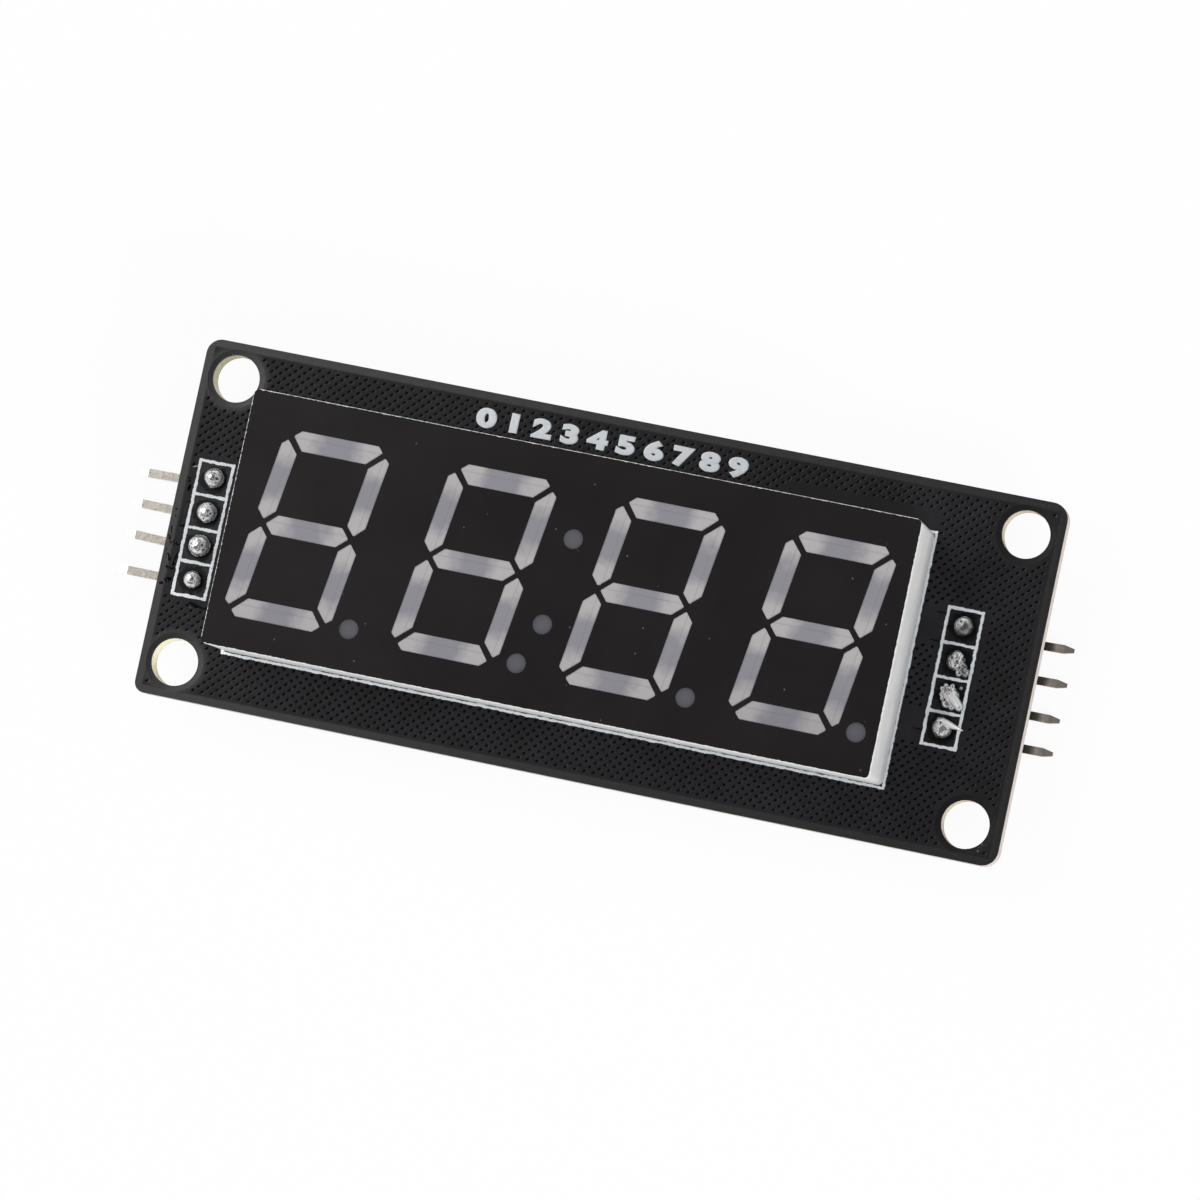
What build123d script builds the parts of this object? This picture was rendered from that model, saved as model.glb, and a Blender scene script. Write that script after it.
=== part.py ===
from build123d import *
import os
from math import atan, degrees, radians, tan

# Seven segment display module: a black circuit board that carries a moulded four-digit
# display on its front and a row of bent header pins at each end of its rear.
# Origin: centre of the four mounting holes, on the rear face of the board.
# +X runs along the digits, +Y to their tops and +Z out of the display. Sizes are in mm.

# Circuit board
board_length = 65.86
board_width = 27.0
board_centre = (0.05, 0.0)
board_thickness = 1.6
board_corner_radii = {(-1, 1): 1.15, (1, 1): 1.25, (1, -1): 1.2, (-1, -1): 0.8}
coating_thickness = 0.04
mounting_hole_diameter = 3.55
mounting_hole_spacing_x = 60.4
mounting_hole_spacing_y = 21.6

# Printed outlines on the board
print_line_width = 0.22
print_thickness = 0.03
display_print_centre = (-1.54, 0.14)
display_print_size = (50.54, 19.06)
chip_print_size = (2.9, 1.3)
driver_print_size = (14.0, 11.8)

# Header rows: four square pins, bent outwards below a plastic strip
pitch = 2.54
header_pin_count = 4
header_centres = {"left": (-30.25, -0.72), "right": (27.06, -0.54)}
header_directions = {"left": 180.0, "right": 0.0}
header_reach = {"left": 7.0, "right": 7.75}
header_pin_yaw = {"left": (1.1, -0.5, -1.9, -0.1), "right": (1.5, 1.1, 0.1, 0.6)}
header_body_width = 2.5
header_body_height = 2.54
header_body_notch = 0.5
header_pin_width = 0.64
header_pin_drop = 3.4
header_bend_radius = 0.8
header_tip_length = 0.75
header_tip_width = 0.3
header_pin_rise = 0.6

# Through holes, their copper rings and the solder that fills them
header_hole_diameter = 1.0
header_ring_diameter = 1.35
display_hole_diameter = 0.8
display_ring_diameter = 1.5
dome_radii = {"left": (0.76, 0.80, 0.84, 0.68), "right": (0.76, 0.80, 0.80, 0.76)}
dome_height = 0.95
# Drawn-out peaks of the last two joints: tip from the pin's axis at the board's front
solder_peaks = {("right", 3): (0.75, -0.85, 1.2), ("right", 4): (1.35, 0.12, 1.3)}
peak_root_radius = 0.42
peak_tip_radius = 0.05
peak_root_level = 0.32
# Lumps on two untidy joints: place from the pin's axis at the board's front, and radius
solder_lumps = {
    ("right", 2): [(-0.35, 0.3, 0.45, 0.45), (0.35, -0.35, 0.4, 0.42)],
    ("right", 3): [(-0.5, 0.45, 0.4, 0.34), (0.3, 0.5, 0.4, 0.32), (-0.45, -0.3, 0.35, 0.36)],
}
stub_length = 1.3
stub_solder_height = 0.95
stub_solder_tip_radius = 0.34
stub_solder_waist_radius = 0.44
stub_solder_waist_share = 0.45

# Display housing
display_centre = (-1.45, 0.19)
display_length = 50.4
display_width = 19.1
display_height = 8.0
housing_corner_radius = 0.4
housing_edge_radius = 0.03
housing_base_inset = 0.09
housing_wall = 1.0
foot_length = 1.2
foot_width = 0.8
foot_inset = (0.4, 0.24)
foot_height = 0.15
pocket_depth = 2.25
face_coat_thickness = 0.05
face_coat_inset = 0.03
substrate_thickness = 1.0
substrate_clearance = 0.05
casting_gap = 0.2

# Digits, upright before their slant
digit_count = 4
digit_pitch = 12.7
digits_centre = (-1.5, 0.16)
digit_height = 14.26
digit_width = 8.22
digit_slant = 8.0
cross_bar_width = 1.48
upright_bar_width = 1.39
outer_bar_long_edge = 5.86
outer_bar_tip_span = 6.80
outer_bar_tip_drop = 0.45
outer_bar_short_edge = 4.90
middle_bar_edge = 4.88
middle_bar_tip_span = 6.32
upright_top_tip = (3.70, 6.36)
upright_outer_top = 6.00
upright_inner_top = 5.36
upright_low_tip = (3.43, 0.27)
upright_low_corner = 0.99
bar_corner_radius = 0.12
well_narrowing = 0.62
well_shortening = 0.88
dot_diameter = 1.46
point_offset = (4.6, -6.4)
colon_offset = 3.26
die_size = 0.3
die_height = 0.15

# Display pins, in two rows through the board
display_pin_width = 0.5
display_pin_columns = 6
display_row_spacing = 15.24

# Driver circuit on the rear
driver_centre = (2.0, 0.28)
driver_length = 12.8
driver_width = 7.5
driver_half_height = 1.15
driver_standoff = 0.15
driver_draft = 7.0
driver_lead_count = 20
driver_lead_pitch = 1.27
driver_lead_span = 10.3
driver_lead_width = 0.42
driver_lead_thickness = 0.25
driver_lead_bend = 0.25
driver_lead_root = 0.3
driver_lead_shoulder = 0.45
driver_lead_foot = 0.75
driver_mark_radius = 0.5
driver_mark_inset = 1.4
driver_mark_depth = 0.3
driver_pad = (0.6, 1.7)
driver_pad_inset = 0.4

# Chip resistors and capacitors on the rear: centre, turn and height
chip_length = 1.6
chip_width = 0.8
chip_terminal_length = 0.32
chip_terminal_wrap = 0.02
chip_pad = (0.8, 0.95)
chip_pad_spacing = 1.6
chips = {
    "resistor_1": ((15.5, 2.4), 90.0, 0.45),
    "resistor_2": ((17.6, 2.4), 90.0, 0.45),
    "capacitor_1": ((11.4, -2.2), 90.0, 0.8),
    "capacitor_2": ((-7.6, 2.6), 90.0, 0.8),
    "capacitor_3": ((15.5, -2.4), 90.0, 0.8),
    "capacitor_4": ((17.6, -2.4), 90.0, 0.8),
}

sin_45 = 0.5 ** 0.5
slant = tan(radians(digit_slant))
board_front = board_thickness
housing_base = board_front + foot_height
face_level = board_front + display_height - face_coat_thickness
pocket_ceiling = housing_base + pocket_depth
substrate_top = pocket_ceiling - casting_gap
housing_height = face_level - housing_base
housing_draft = degrees(atan(housing_base_inset / housing_height))
pocket_length = display_length - 2 * housing_wall
pocket_width = display_width - 2 * housing_wall
driver_middle = -(driver_standoff + driver_half_height)


def header_pin_places(side):
    x, y = header_centres[side]
    top_row = (header_pin_count - 1) / 2
    return [(x, y + (top_row - i) * pitch) for i in range(header_pin_count)]


def display_pin_places():
    x, y = display_centre
    rows = [y + display_row_spacing / 2, y - display_row_spacing / 2]
    first = x - (display_pin_columns - 1) / 2 * pitch
    return [(first + i * pitch, row) for row in rows for i in range(display_pin_columns)]


header_places = header_pin_places("left") + header_pin_places("right")


def discs(places, diameter):
    return [Pos(x, y) * Circle(diameter / 2) for x, y in places]


def slab(sketch, low, high):
    return extrude(Pos(0, 0, low) * sketch, amount=high - low)


# Circuit board


def board_blank():
    holes = GridLocations(mounting_hole_spacing_x, mounting_hole_spacing_y, 2, 2)
    outline = Rectangle(board_length, board_width)
    for (side_x, side_y), radius in board_corner_radii.items():
        corner = Vector(side_x * board_length / 2, side_y * board_width / 2)
        outline = fillet(outline.vertices().sort_by_distance(corner)[0], radius)
    outline = Pos(*board_centre) * outline
    return outline - [place * Circle(mounting_hole_diameter / 2) for place in holes]


def flat_pads():
    pads = []
    lead_offset = driver_lead_span / 2 - driver_pad_inset
    x, y = driver_centre
    for column in driver_lead_columns():
        for sign in (1, -1):
            pads.append(Pos(x + column, y + sign * lead_offset) * Rectangle(*driver_pad))
    for (cx, cy), turn, _ in chips.values():
        for sign in (1, -1):
            pads.append(Pos(cx, cy) * Rot(0, 0, turn) * Pos(sign * chip_pad_spacing / 2, 0)
                        * Rectangle(*chip_pad))
    return pads


def make_board():
    front_core = board_front - coating_thickness
    header_rings = discs(header_places, header_ring_diameter)
    display_rings = discs(display_pin_places(), display_ring_diameter)
    header_holes = discs(header_places, header_hole_diameter)
    display_holes = discs(display_pin_places(), display_hole_diameter)
    rings = [*header_rings, *display_rings]
    holes = [*header_holes, *display_holes]
    ring_pads = Sketch() + rings - holes
    core = board_blank() - holes
    front = board_blank() - rings
    rear = front - flat_pads()
    return {
        "board_laminate": slab(core, coating_thickness, front_core),
        "front_solder_mask": slab(front, front_core, board_front),
        "rear_solder_mask": slab(rear, 0, coating_thickness),
        "front_pads": slab(ring_pads, front_core, board_front),
        "rear_pads": slab(ring_pads + flat_pads(), 0, coating_thickness),
    }


def frame_lines(length, width):
    outer = Rectangle(length + print_line_width, width + print_line_width)
    return outer - Rectangle(length - print_line_width, width - print_line_width)


def make_print():
    front = Pos(*display_print_centre) * frame_lines(*display_print_size)
    for x, y in header_places:
        front += Pos(x, y) * frame_lines(pitch, pitch)
    rear = Pos(*driver_centre) * frame_lines(*driver_print_size)
    for (x, y), turn, _ in chips.values():
        rear += Pos(x, y) * Rot(0, 0, turn) * frame_lines(*chip_print_size)
    return {
        "front_print": slab(front, board_front, board_front + print_thickness),
        "rear_print": slab(rear, -print_thickness, 0),
    }


# Header rows


def make_header_pin(side, number):
    half = header_pin_width / 2
    tip = header_tip_width / 2
    reach = header_reach[side]
    level = -header_pin_drop
    bend = level + header_bend_radius
    top = board_front + header_pin_rise
    shoulder = reach - header_tip_length
    turn = sin_45 * (header_bend_radius + half)
    inner_turn = sin_45 * (header_bend_radius - half)
    outline = Polyline((header_bend_radius, level + half), (shoulder, level + half),
                       (reach, level + tip), (reach, level - tip), (shoulder, level - half),
                       (header_bend_radius, level - half))
    outline += ThreePointArc((header_bend_radius, level - half),
                             (header_bend_radius - turn, bend - turn), (-half, bend))
    outline += Polyline((-half, bend), (-half, top), (half, top), (half, bend))
    outline += ThreePointArc((half, bend), (header_bend_radius - inner_turn, bend - inner_turn),
                             (header_bend_radius, level + half))
    side_view = extrude(Plane.XZ * make_face(outline), amount=half, both=True)
    plan = Polyline((-half, -half), (shoulder, -half), (reach, -tip), (reach, tip),
                    (shoulder, half), (-half, half), close=True)
    plan_view = slab(make_face(plan), level - header_pin_width, top)
    x, y = header_pin_places(side)[number - 1]
    angle = header_directions[side] + header_pin_yaw[side][number - 1]
    return Pos(x, y) * Rot(0, 0, angle) * (side_view & plan_view)


def make_header_body(side, pins):
    cell = chamfer(Rectangle(header_body_width, pitch).vertices(), header_body_notch / 2)
    strip = Sketch() + [Pos(x, y) * cell for x, y in header_pin_places(side)]
    return slab(strip, -header_body_height, 0) - pins


def make_header_solder(side, number, pin):
    radius = dome_radii[side][number - 1]
    ball = (dome_height ** 2 + radius ** 2) / (2 * dome_height)
    above_board = slab(Rectangle(3 * ball, 3 * ball), 0, 2 * dome_height)
    dome = (Pos(0, 0, dome_height - ball) * Sphere(ball)) & above_board
    for lx, ly, lz, lump_radius in solder_lumps.get((side, number), []):
        dome += (Pos(lx, ly, lz) * Sphere(lump_radius)) & above_board
    peak = solder_peaks.get((side, number))
    if peak:
        start = Vector(0, 0, peak_root_level)
        rise = Vector(*peak) - start
        dome += Plane(origin=start, z_dir=rise) * Cone(peak_root_radius, peak_tip_radius, rise.length,
            align=(Align.CENTER, Align.CENTER, Align.MIN))
    barrel = slab(Circle(header_hole_diameter / 2), -board_thickness, 0)
    x, y = header_pin_places(side)[number - 1]
    return Pos(x, y, board_front) * (dome + barrel) - pin


def make_headers():
    parts = {}
    for side in ("left", "right"):
        numbers = range(1, header_pin_count + 1)
        pins = [make_header_pin(side, n) for n in numbers]
        parts[f"{side}_header_body"] = make_header_body(side, pins)
        for n, pin in zip(numbers, pins):
            parts[f"{side}_header_pin_{n}"] = pin
            parts[f"{side}_header_solder_{n}"] = make_header_solder(side, n, pin)
    return parts


# Display


def mirrored(points, flip_x, flip_y):
    return [(x * flip_x, y * flip_y) for x, y in points]


def digit_bars():
    top = digit_height / 2
    side = digit_width / 2
    inner = side - upright_bar_width
    long_half = outer_bar_long_edge / 2
    tip_half = outer_bar_tip_span / 2
    short_half = outer_bar_short_edge / 2
    tip_level = top - outer_bar_tip_drop
    under = top - cross_bar_width
    outer_bar = [(-long_half, top), (long_half, top), (tip_half, tip_level),
                 (short_half, under), (-short_half, under), (-tip_half, tip_level)]
    half = cross_bar_width / 2
    edge = middle_bar_edge / 2
    point = middle_bar_tip_span / 2
    middle_bar = [(-edge, half), (edge, half), (point, 0),
                  (edge, -half), (-edge, -half), (-point, 0)]
    upright_bar = [upright_top_tip, (side, upright_outer_top), (side, upright_low_corner),
                   upright_low_tip, (inner, upright_low_corner), (inner, upright_inner_top)]
    bars = [middle_bar, outer_bar, mirrored(outer_bar, 1, -1)]
    bars += [mirrored(upright_bar, x, y) for x in (1, -1) for y in (1, -1)]
    return bars


def digit_centres():
    x, y = digits_centre
    first = x - (digit_count - 1) / 2 * digit_pitch
    return [(first + i * digit_pitch, y) for i in range(digit_count)]


def middle_of(points):
    xs = [x for x, _ in points]
    ys = [y for _, y in points]
    return (min(xs) + max(xs)) / 2, (min(ys) + max(ys)) / 2


def bar_face(points, centre, narrow=1.0, short=1.0):
    mx, my = middle_of(points)
    width = max(x for x, _ in points) - min(x for x, _ in points)
    height = max(y for _, y in points) - min(y for _, y in points)
    kx, ky = (short, narrow) if width > height else (narrow, short)
    resized = [(mx + (x - mx) * kx, my + (y - my) * ky) for x, y in points]
    leaning = [(centre[0] + x + slant * y, centre[1] + y) for x, y in resized]
    face = make_face(Polyline(*leaning, close=True))
    return fillet(face.vertices(), bar_corner_radius * narrow)


def bar_middles():
    middles = []
    for cx, cy in digit_centres():
        for points in digit_bars():
            mx, my = middle_of(points)
            middles.append((cx + mx + slant * my, cy + my))
    return middles


def dot_places():
    x, y = digits_centre
    px, py = point_offset
    points = [(cx + px, cy + py) for cx, cy in digit_centres()]
    colon = [(x + sign * slant * colon_offset, y + sign * colon_offset) for sign in (1, -1)]
    return points + colon


def light_openings():
    bars = [bar_face(points, centre) for centre in digit_centres() for points in digit_bars()]
    return bars + discs(dot_places(), dot_diameter)


def light_wells():
    wells = []
    for centre in digit_centres():
        for points in digit_bars():
            low = bar_face(points, centre, well_narrowing, well_shortening)
            top = bar_face(points, centre)
            sections = [Pos(0, 0, pocket_ceiling) * low, Pos(0, 0, face_level) * top]
            wells.append(loft(sections, ruled=True))
    depth = face_level - pocket_ceiling
    for x, y in dot_places():
        cone = Cone(dot_diameter / 2 * well_narrowing, dot_diameter / 2, depth,
                    align=(Align.CENTER, Align.CENTER, Align.MIN))
        wells.append(Pos(x, y, pocket_ceiling) * cone)
    return wells


def make_housing(wells):
    inset = 2 * housing_base_inset
    outline = RectangleRounded(display_length - inset, display_width - inset,
                               housing_corner_radius)
    block = extrude(Pos(*display_centre, housing_base) * outline, amount=housing_height,
                    taper=-housing_draft)
    rim = block.faces().sort_by(Axis.Z)[-1].edges()
    block = fillet(rim, housing_edge_radius)
    pocket = Rectangle(pocket_length, pocket_width)
    block -= slab(Pos(*display_centre) * pocket, housing_base, pocket_ceiling)
    foot_spacing_x = display_length - foot_length - 2 * foot_inset[0]
    foot_spacing_y = display_width - foot_width - 2 * foot_inset[1]
    for place in GridLocations(foot_spacing_x, foot_spacing_y, 2, 2):
        foot = Pos(*display_centre) * place * Rectangle(foot_length, foot_width)
        block += slab(foot, board_front, housing_base)
    return block - wells


def make_display():
    wells = light_wells()
    coat = RectangleRounded(display_length - 2 * face_coat_inset,
                            display_width - 2 * face_coat_inset, housing_corner_radius)
    coat = Pos(*display_centre) * coat - light_openings()
    gap_layer = Pos(*display_centre) * Rectangle(pocket_length, pocket_width)
    dice = [slab(Pos(x, y) * Rectangle(die_size, die_size), substrate_top,
                 substrate_top + die_height) for x, y in bar_middles() + dot_places()]
    casting = slab(gap_layer, substrate_top, pocket_ceiling) + wells - dice
    plate = Rectangle(pocket_length - 2 * substrate_clearance,
                      pocket_width - 2 * substrate_clearance)
    pin_section = Rectangle(display_pin_width, display_pin_width)
    pins = [slab(Pos(x, y) * pin_section, -stub_length, substrate_top)
            for x, y in display_pin_places()]
    substrate = slab(Pos(*display_centre) * plate, substrate_top - substrate_thickness,
                     substrate_top) - pins
    parts = {
        "display_housing": make_housing(wells),
        "display_face_coat": slab(coat, face_level, face_level + face_coat_thickness),
        "display_light_casting": casting,
        "display_substrate": substrate,
        "display_led_dice": Compound(children=dice),
    }
    joints = []
    for number, (pin, place) in enumerate(zip(pins, display_pin_places()), 1):
        parts[f"display_pin_{number}"] = pin
        joints.append(make_stub_solder(place) - pin)
    parts["display_pin_solder"] = Compound(children=joints)
    return parts


def make_stub_solder(place):
    ring = display_ring_diameter / 2
    collar = stub_solder_tip_radius
    low = -stub_solder_height
    waist = (stub_solder_waist_radius, low * stub_solder_waist_share)
    hollow = ThreePointArc((ring, 0), waist, (collar, low))
    profile = hollow + Polyline((collar, low), (0, low), (0, 0), (ring, 0))
    fillet_ring = revolve(Plane.XZ * make_face(profile), Axis.Z)
    barrel = slab(Circle(display_hole_diameter / 2), 0, board_front)
    return Pos(*place) * (fillet_ring + barrel)


# Driver circuit


def driver_lead_columns():
    per_side = driver_lead_count // 2
    return [(i - (per_side - 1) / 2) * driver_lead_pitch for i in range(per_side)]


def make_driver_lead():
    root = driver_width / 2 - driver_lead_root
    foot = -driver_lead_thickness / 2
    knee = driver_width / 2 + driver_lead_shoulder
    heel = driver_lead_span / 2 - driver_lead_foot
    path = FilletPolyline((0, root, driver_middle), (0, knee, driver_middle), (0, heel, foot),
                          (0, driver_lead_span / 2, foot), radius=driver_lead_bend)
    start = Plane(origin=(0, root, driver_middle), x_dir=(1, 0, 0), z_dir=(0, 1, 0))
    return sweep(start * Rectangle(driver_lead_width, driver_lead_thickness), path=path)


def make_driver():
    lead = make_driver_lead()
    place = Pos(*driver_centre)
    upper = [place * Pos(x, 0) * lead for x in driver_lead_columns()]
    lower = [place * Rot(0, 0, 180) * Pos(x, 0) * lead for x in driver_lead_columns()]
    outline = Pos(0, 0, driver_middle) * Rectangle(driver_length, driver_width)
    body = extrude(outline, amount=driver_half_height, taper=driver_draft)
    body += extrude(outline, amount=-driver_half_height, taper=driver_draft)
    underside = driver_middle - driver_half_height
    mark = Pos(driver_mark_inset - driver_length / 2, driver_mark_inset - driver_width / 2, underside)
    body -= mark * Cylinder(driver_mark_radius, 2 * driver_mark_depth)
    return {
        "driver_body": place * body - upper - lower,
        "driver_leads_upper": Compound(children=upper),
        "driver_leads_lower": Compound(children=lower),
    }


def make_chips():
    parts = {}
    terminals = []
    middle = chip_length - 2 * chip_terminal_length
    for name, (centre, turn, height) in chips.items():
        place = Pos(*centre) * Rot(0, 0, turn)
        parts[name] = place * slab(Rectangle(middle, chip_width), -height, 0)
        end = Rectangle(chip_terminal_length, chip_width + 2 * chip_terminal_wrap)
        cap = slab(end, -height - chip_terminal_wrap, 0)
        offset = (chip_length - chip_terminal_length) / 2
        terminals += [place * Pos(sign * offset, 0) * cap for sign in (1, -1)]
    parts["chip_terminals"] = Compound(children=terminals)
    return parts


os.makedirs("parts", exist_ok=True)
nodes = {}
for group in (make_board, make_print, make_headers, make_display, make_driver, make_chips):
    nodes.update(group())
for name, shape in nodes.items():
    export_step(shape, f"parts/{name}.step")
    print(name, round(shape.volume, 3))
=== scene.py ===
import math
import random
import bpy
import bmesh
from mathutils import Matrix, Vector, noise


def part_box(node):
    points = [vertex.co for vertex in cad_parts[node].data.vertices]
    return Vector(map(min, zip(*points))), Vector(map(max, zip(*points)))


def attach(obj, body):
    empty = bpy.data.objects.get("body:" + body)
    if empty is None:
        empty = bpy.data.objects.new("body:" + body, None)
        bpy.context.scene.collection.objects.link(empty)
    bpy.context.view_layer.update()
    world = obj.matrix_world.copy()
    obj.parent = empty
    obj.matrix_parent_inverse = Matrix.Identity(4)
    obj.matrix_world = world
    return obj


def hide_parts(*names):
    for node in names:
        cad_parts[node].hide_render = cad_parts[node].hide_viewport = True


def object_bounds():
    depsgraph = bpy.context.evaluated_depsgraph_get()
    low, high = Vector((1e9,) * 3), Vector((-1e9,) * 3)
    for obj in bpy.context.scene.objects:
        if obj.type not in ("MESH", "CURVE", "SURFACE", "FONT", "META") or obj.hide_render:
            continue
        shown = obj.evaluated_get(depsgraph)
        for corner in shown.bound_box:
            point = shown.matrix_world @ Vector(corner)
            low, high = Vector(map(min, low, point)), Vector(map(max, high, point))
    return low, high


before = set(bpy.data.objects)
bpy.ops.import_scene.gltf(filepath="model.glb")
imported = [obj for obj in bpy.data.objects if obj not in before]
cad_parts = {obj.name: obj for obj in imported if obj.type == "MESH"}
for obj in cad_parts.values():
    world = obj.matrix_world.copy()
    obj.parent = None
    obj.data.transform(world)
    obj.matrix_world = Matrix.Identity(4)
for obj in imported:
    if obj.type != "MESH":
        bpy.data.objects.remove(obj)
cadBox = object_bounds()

mm = 0.001
print("stage: frame loaded,", len(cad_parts), "CAD nodes")

# Places that several pieces share, in millimetres, read from the CAD nodes


def nodeBox(name):
    low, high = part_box(name)
    return low / mm, high / mm


maskLow, maskHigh = nodeBox("front_solder_mask")
coatLow, coatHigh = nodeBox("display_face_coat")
housingLow, housingHigh = nodeBox("display_housing")
boardTop = maskHigh.z
boardMiddle, boardHalf = ((maskHigh + s * maskLow).xy / 2 for s in (1, -1))
coatMiddle, coatHalf = ((coatHigh + s * coatLow).xy / 2 for s in (1, -1))
housingMiddle, housingHalf = ((housingHigh + s * housingLow).xy / 2 for s in (1, -1))
pitch = 2.54
dotShift = 10.0     # of the dots in the resin's map, so that the material can tell them from bars
holeSpacing = (60.4, 21.6)
headerCentres = {"left": (-30.25, -0.72), "right": (27.06, -0.54)}
chipPlaces = ((15.5, 2.4), (17.6, 2.4), (11.4, -2.2), (-7.6, 2.6), (15.5, -2.4), (17.6, -2.4))


def headerPlaces(side):
    x, y = headerCentres[side]
    return [(x, y + (1.5 - i) * pitch) for i in range(4)]


def holePlaces():
    halfX, halfY = (s / 2 for s in holeSpacing)
    return [(x, y) for x in (-halfX, halfX) for y in (-halfY, halfY)]


def displayPinPlaces():
    boxes = [nodeBox(f"display_pin_{number}") for number in range(1, 13)]
    return [tuple(((low + high) / 2).xy) for low, high in boxes]


# Small helpers for node trees, where a value is a plain one or another node's socket


def connect(tree, socket, value):
    if isinstance(value, bpy.types.NodeSocket):
        tree.links.new(value, socket)
    else:
        socket.default_value = value


def addNode(tree, kind, inputs=None, **settings):
    node = tree.nodes.new(kind)
    for key, value in settings.items():
        setattr(node, key, value)
    for key, value in (inputs or {}).items():
        connect(tree, node.inputs[key], value)
    return node


def mathNode(tree, operation, first, second=0.0, clamp=False):
    inputs = {0: first, 1: second}
    return addNode(tree, "ShaderNodeMath", inputs, operation=operation, use_clamp=clamp).outputs[0]


def plus(tree, first, second, clamp=False):
    return mathNode(tree, "ADD", first, second, clamp)


def minus(tree, first, second):
    return mathNode(tree, "SUBTRACT", first, second)


def times(tree, first, second, clamp=False):
    return mathNode(tree, "MULTIPLY", first, second, clamp)


def most(tree, first, *others):
    for other in others:
        first = mathNode(tree, "MAXIMUM", first, other)
    return first


def absolute(tree, value):
    return mathNode(tree, "ABSOLUTE", value)


def remap(tree, value, low, high, toLow=0.0, toHigh=1.0):
    node = addNode(tree, "ShaderNodeMapRange", {
        "Value": value, "From Min": low, "From Max": high, "To Min": toLow, "To Max": toHigh})
    return node.outputs["Result"]


def spread(tree, pattern, low, high):
    # a noise stays near one half, so its middle part is drawn out over the range
    return remap(tree, pattern, 0.3, 0.7, low, high)


def vector(tree, x=0.0, y=0.0, z=0.0):
    return addNode(tree, "ShaderNodeCombineXYZ", {"X": x, "Y": y, "Z": z}).outputs[0]


def lengthOf(tree, given):
    return addNode(tree, "ShaderNodeVectorMath", {0: given}, operation="LENGTH").outputs["Value"]


def mixColours(tree, factor, first, second):
    node = addNode(tree, "ShaderNodeMix", {0: factor}, data_type="RGBA")
    for slot, colour in ((6, first), (7, second)):
        connect(tree, node.inputs[slot], colour if isinstance(colour, bpy.types.NodeSocket) else (*colour, 1))
    return node.outputs[2]


def scaled(colour, share):
    return tuple(c * share for c in colour)


def colourRamp(tree, factor, stops):
    node = addNode(tree, "ShaderNodeValToRGB", {"Fac": factor})
    elements = node.color_ramp.elements
    while len(elements) < len(stops):
        elements.new(0.5)
    for element, (place, colour) in zip(elements, stops):
        element.position = place
        element.color = (*colour, 1)
    return node.outputs["Color"]


def startMaterial(name, values):
    material = bpy.data.materials.new(name)
    material.use_nodes = True
    tree = material.node_tree
    shader = tree.nodes["Principled BSDF"]
    for key, value in values.items():
        shader.inputs[key].default_value = value
    return material, tree, shader


def feed(tree, shader, **sockets):
    names = {"colour": "Base Color", "roughness": "Roughness", "normal": "Normal",
             "gloss": "Specular IOR Level"}
    for key, value in sockets.items():
        tree.links.new(value, shader.inputs[names[key]])


def bumpFrom(tree, height, distance, strength=1.0, under=None):
    inputs = {"Height": height, "Distance": distance * mm, "Strength": strength}
    if under:
        inputs["Normal"] = under
    return addNode(tree, "ShaderNodeBump", inputs).outputs["Normal"]


# Patterns on Object coordinates


def objectSpace(tree):
    return addNode(tree, "ShaderNodeTexCoord").outputs["Object"]


def axisOf(tree, axis):
    return addNode(tree, "ShaderNodeSeparateXYZ", {"Vector": objectSpace(tree)}).outputs[axis]


def axisRamp(tree, axis, start, end, toLow=0.0, toHigh=1.0):
    return remap(tree, axisOf(tree, axis), start * mm, end * mm, toLow, toHigh)


def fromMiddle(tree, axis, middle=0.0):
    return absolute(tree, minus(tree, axisOf(tree, axis), middle * mm))


def grain(tree, perMm, detail=3.0, roughness=0.55, stretch=(1, 1, 1), distortion=0.0):
    place = addNode(tree, "ShaderNodeMapping", {"Vector": objectSpace(tree), "Scale": stretch})
    found = addNode(tree, "ShaderNodeTexNoise", {
        "Vector": place.outputs["Vector"], "Scale": perMm / mm, "Detail": detail,
        "Roughness": roughness, "Distortion": distortion})
    return found.outputs["Fac"]


def specks(tree, perMm, size):
    cells = addNode(tree, "ShaderNodeTexVoronoi", {"Vector": objectSpace(tree), "Scale": perMm / mm})
    return remap(tree, cells.outputs["Distance"], size * 0.6, size, 1, 0)


def patch(tree, centre, halfSize, degrees, softness):
    # 1 within an ellipse that lies flat on the board, 0 outside, with an uneven edge
    place = addNode(tree, "ShaderNodeMapping", {
        "Vector": objectSpace(tree), "Location": (centre[0] * mm, centre[1] * mm, 0),
        "Rotation": (0, 0, math.radians(degrees)), "Scale": (halfSize[0] * mm, halfSize[1] * mm, 1)},
        vector_type="TEXTURE")
    flat = addNode(tree, "ShaderNodeVectorMath", {0: place.outputs[0], 1: (1, 1, 0)}, operation="MULTIPLY")
    away = lengthOf(tree, flat.outputs[0])
    uneven = plus(tree, away, spread(tree, grain(tree, 2.6, 2), -softness, softness))
    return remap(tree, uneven, 1.0 - 0.5 * softness, 1.0, 1, 0)


def holeDistance(tree):
    # millimetres from the nearest mounting hole's centre
    halfX, halfY = (s / 2 * mm for s in holeSpacing)
    away = vector(tree, minus(tree, fromMiddle(tree, "X"), halfX), minus(tree, fromMiddle(tree, "Y"), halfY))
    return mathNode(tree, "DIVIDE", lengthOf(tree, away), mm)


# Solder mask, plain or over copper

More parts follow.
